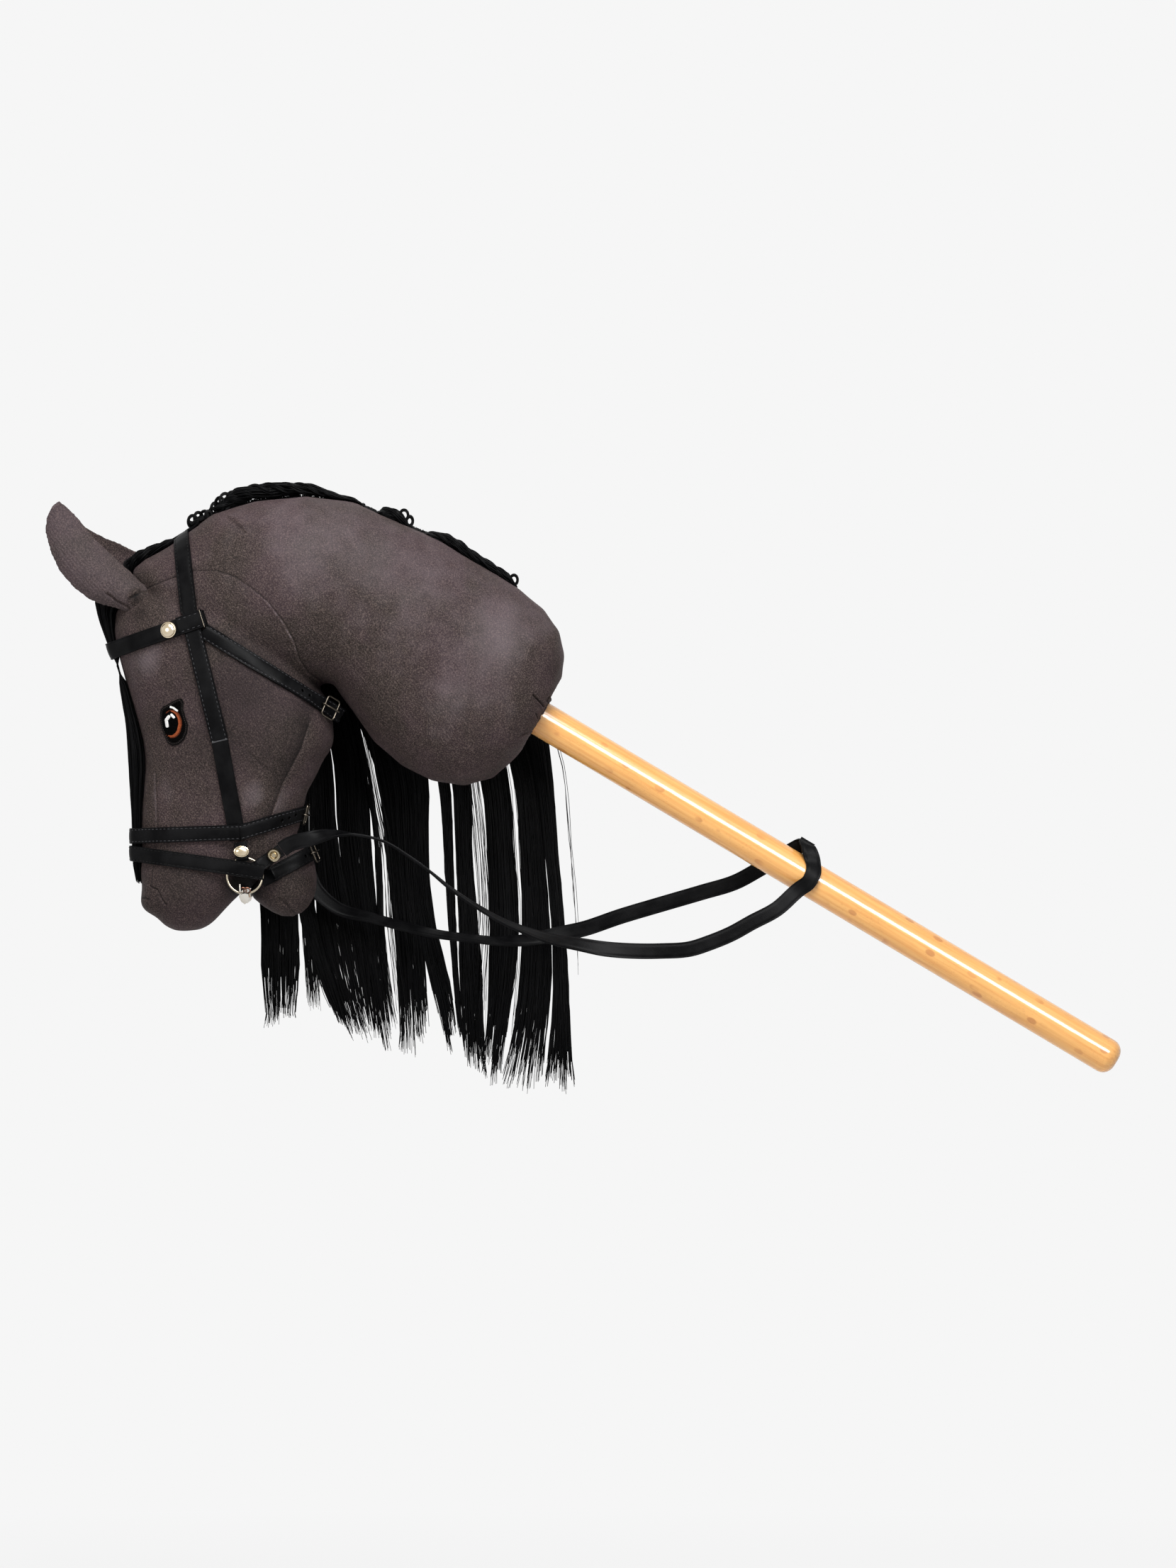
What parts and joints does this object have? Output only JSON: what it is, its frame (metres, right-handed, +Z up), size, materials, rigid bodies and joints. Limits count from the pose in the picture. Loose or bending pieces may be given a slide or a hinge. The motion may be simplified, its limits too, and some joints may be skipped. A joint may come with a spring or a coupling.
{
  "type": "hobby horse",
  "caption": "Stuffed horse head and arched neck on a round wooden stick, with a black mane, a strap bridle, a ring bit and reins looped over the stick.",
  "frame": {"origin": "on the stick's axis, where the stick leaves the neck", "axes": "+Z up, the horse looks along -X, its left side faces -Y, and y = 0 is its plane of symmetry; the stick runs down towards +X"},
  "size_m": [0.7576, 0.1182, 0.4253],
  "materials": {
    "suede": "dark grey-brown brushed microfibre suede",
    "hair": "straight black synthetic hair",
    "leather": "black smooth bridle leather with stitched edges",
    "thread": "satin embroidery thread",
    "silver": "polished nickel plate",
    "brass": "pale polished press stud",
    "beech": "varnished beech with fine flecks"
  },
  "bodies": {
    "horse": {"stick": "beech", "neck": "suede", "head": "suede", "chin": "suede", "ear_left": "suede", "ear_right": "suede", "eye_left": "thread", "eye_right": "thread", "forelock": "hair", "mane_roll_1": "hair", "mane_roll_2": "hair", "mane_roll_3": "hair", "mane_roll_4": "hair", "mane_lock_01": "hair", "mane_lock_02": "hair", "mane_lock_03": "hair", "mane_lock_04": "hair", "mane_lock_05": "hair", "mane_lock_06": "hair", "mane_lock_07": "hair", "mane_lock_08": "hair", "mane_lock_09": "hair", "mane_lock_10": "hair", "mane_lock_11": "hair", "crownpiece": "leather", "cheekpiece_upper_left": "leather", "cheekpiece_upper_right": "leather", "cheekpiece_lower_left": "leather", "cheekpiece_lower_right": "leather", "browband": "leather", "browband_keeper_left": "leather", "browband_keeper_right": "leather", "browband_stud_left": "silver", "browband_stud_right": "silver", "throatlatch": "leather", "throatlatch_buckle_frame": "silver", "noseband": "leather", "noseband_strap": "leather", "noseband_buckle_frame": "silver", "flash_band": "leather", "flash_strap": "leather", "flash_buckle_frame": "silver", "cheek_loop_left": "leather", "cheek_loop_right": "leather", "rein_loop_left": "leather", "rein_loop_right": "leather", "cheek_rivet_left": "silver", "cheek_rivet_right": "silver", "rein_rivet_left": "brass", "rein_rivet_right": "brass", "bit_mouthpiece": "silver", "rein_left": "leather", "rein_right": "leather", "rein_join": "leather"},
    "left_ring": {"bit_ring_left": "silver"},
    "right_ring": {"bit_ring_right": "silver"},
    "throatlatch_tongue": {"throatlatch_buckle_tongue": "silver"},
    "noseband_tongue": {"noseband_buckle_tongue": "silver"},
    "flash_tongue": {"flash_buckle_tongue": "silver"}
  },
  "joints": [
    {"name": "left_ring_turn", "type": "hinge", "parent": "horse", "child": "left_ring", "pos_m": [-0.208, -0.04043, -0.1105], "axis": [0, 1, 0], "continuous": true},
    {"name": "right_ring_turn", "type": "hinge", "parent": "horse", "child": "right_ring", "pos_m": [-0.208, 0.04043, -0.1105], "axis": [0, 1, 0], "continuous": true},
    {"name": "throatlatch_tongue_swing", "type": "hinge", "parent": "horse", "child": "throatlatch_tongue", "pos_m": [-0.15175, -0.03004, 0.00999], "axis": [-0.3739, -0.2452, -0.8945], "range_deg": [0, 100]},
    {"name": "noseband_tongue_swing", "type": "hinge", "parent": "horse", "child": "noseband_tongue", "pos_m": [-0.16598, -0.01193, -0.06771], "axis": [-0.2334, 0.0609, -0.9705], "range_deg": [0, 100]},
    {"name": "flash_tongue_swing", "type": "hinge", "parent": "horse", "child": "flash_tongue", "pos_m": [-0.16059, -0.01449, -0.09446], "axis": [0.3863, 0.0248, -0.9221], "range_deg": [0, 100]}
  ]
}
